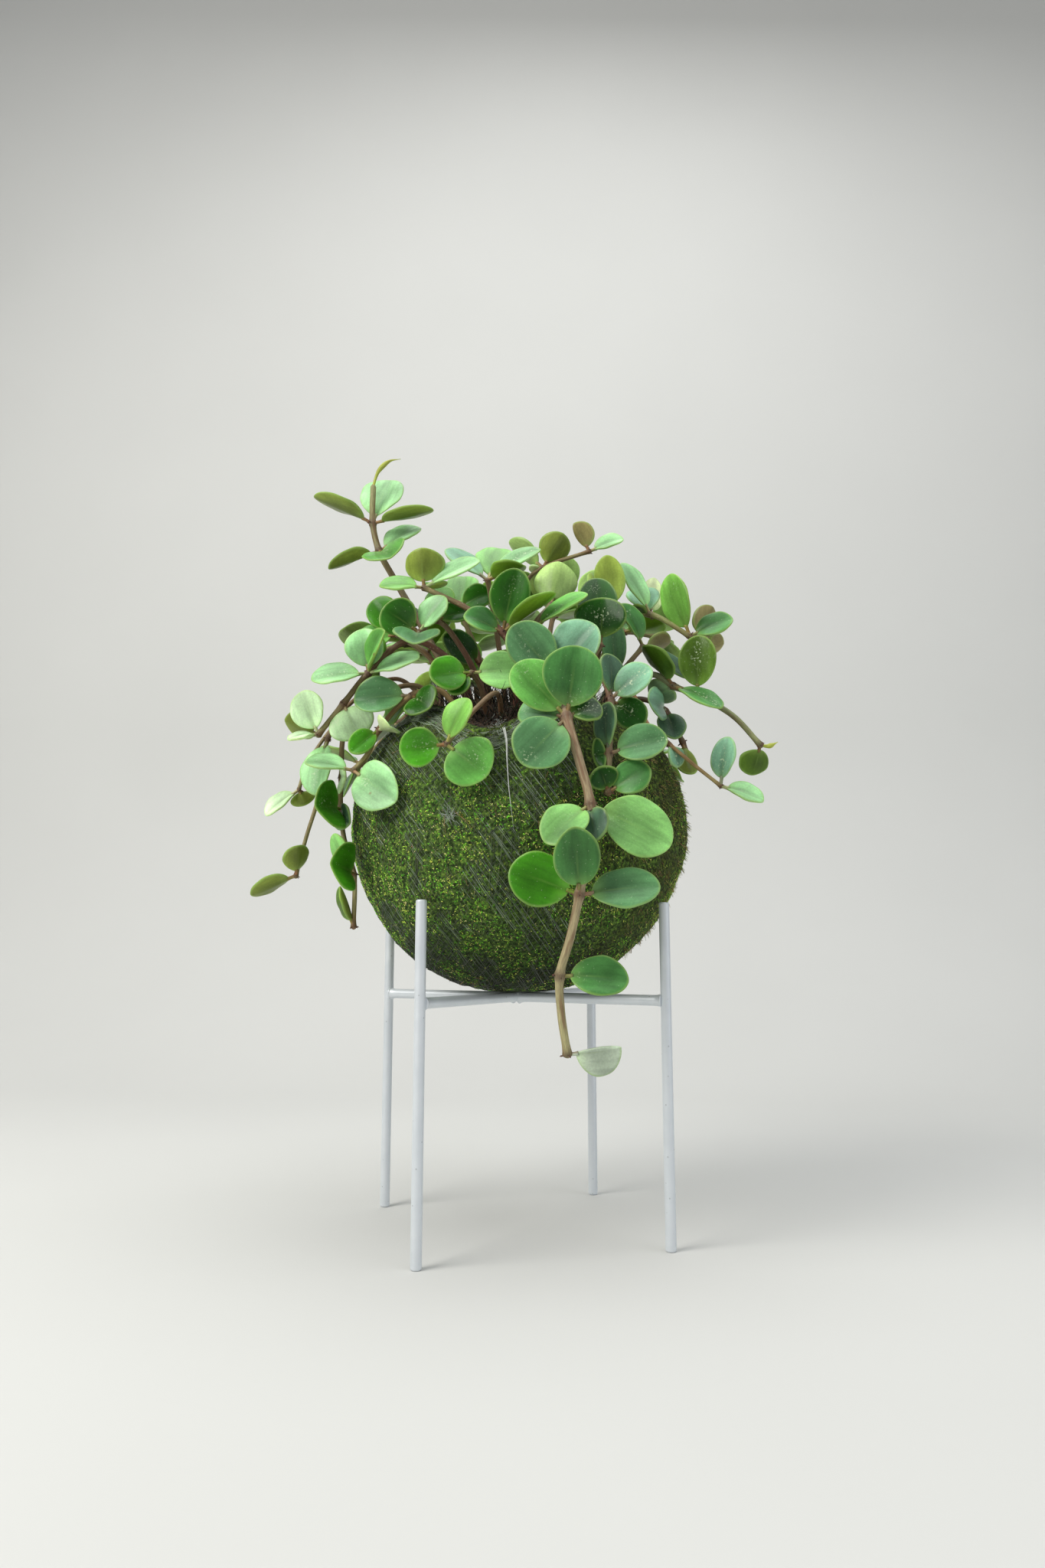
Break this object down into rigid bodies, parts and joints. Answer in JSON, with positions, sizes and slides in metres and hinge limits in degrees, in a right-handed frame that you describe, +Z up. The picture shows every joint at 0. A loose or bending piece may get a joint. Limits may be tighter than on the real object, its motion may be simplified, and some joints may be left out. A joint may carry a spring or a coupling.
{
  "type": "kokedama moss ball plant",
  "caption": "Moss ball wound with thread, planted with trailing oval-leaved stems, resting on a small rod stand.",
  "frame": {"origin": "middle of the bounding box, at the height of the surface that the feet stand on", "axes": "+Z up, +X to the right and +Y away from the viewer as the plant is seen from its front"},
  "size_m": [0.258, 0.2314, 0.3947],
  "materials": {
    "stand_paint": "satin silver-white enamel on round steel rod",
    "moss": "living moss wound with fine grey-green thread",
    "soil": "moist dark potting soil",
    "leaf": "fleshy satin leaves on tan and reddish stems"
  },
  "bodies": {
    "root": {"leg_right": "stand_paint", "leg_back": "stand_paint", "leg_left": "stand_paint", "leg_front": "stand_paint", "cross_bar_through": "stand_paint", "cross_bar_right": "stand_paint", "cross_bar_left": "stand_paint", "moss_shell": "moss", "soil_core": "soil", "front_trailer": "leaf", "right_front_trailer": "leaf", "right_low_twig": "leaf", "right_reaching_stem": "leaf", "right_arching_stem": "leaf", "right_inner_stem": "leaf", "right_upright_stem": "leaf", "centre_right_stem": "leaf", "centre_front_stem": "leaf", "centre_back_stem": "leaf", "top_right_stem": "leaf", "top_left_stem": "leaf", "left_long_stem": "leaf", "tall_stem": "leaf", "left_arching_stem": "leaf", "left_crown_stem": "leaf", "left_back_stem": "leaf", "left_inner_stem": "leaf", "left_front_trailer": "leaf", "front_left_spray": "leaf", "centre_left_stem": "leaf", "left_hanging_stem": "leaf", "left_far_trailer": "leaf", "left_far_twig": "leaf", "right_withered_stem": "leaf", "back_stem_1": "leaf", "back_stem_2": "leaf", "back_stem_3": "leaf", "back_stem_4": "leaf", "back_stem_5": "leaf", "back_stem_6": "leaf", "back_stem_7": "leaf", "back_stem_8": "leaf", "back_stem_9": "leaf", "back_stem_10": "leaf"}
  },
  "joints": []
}
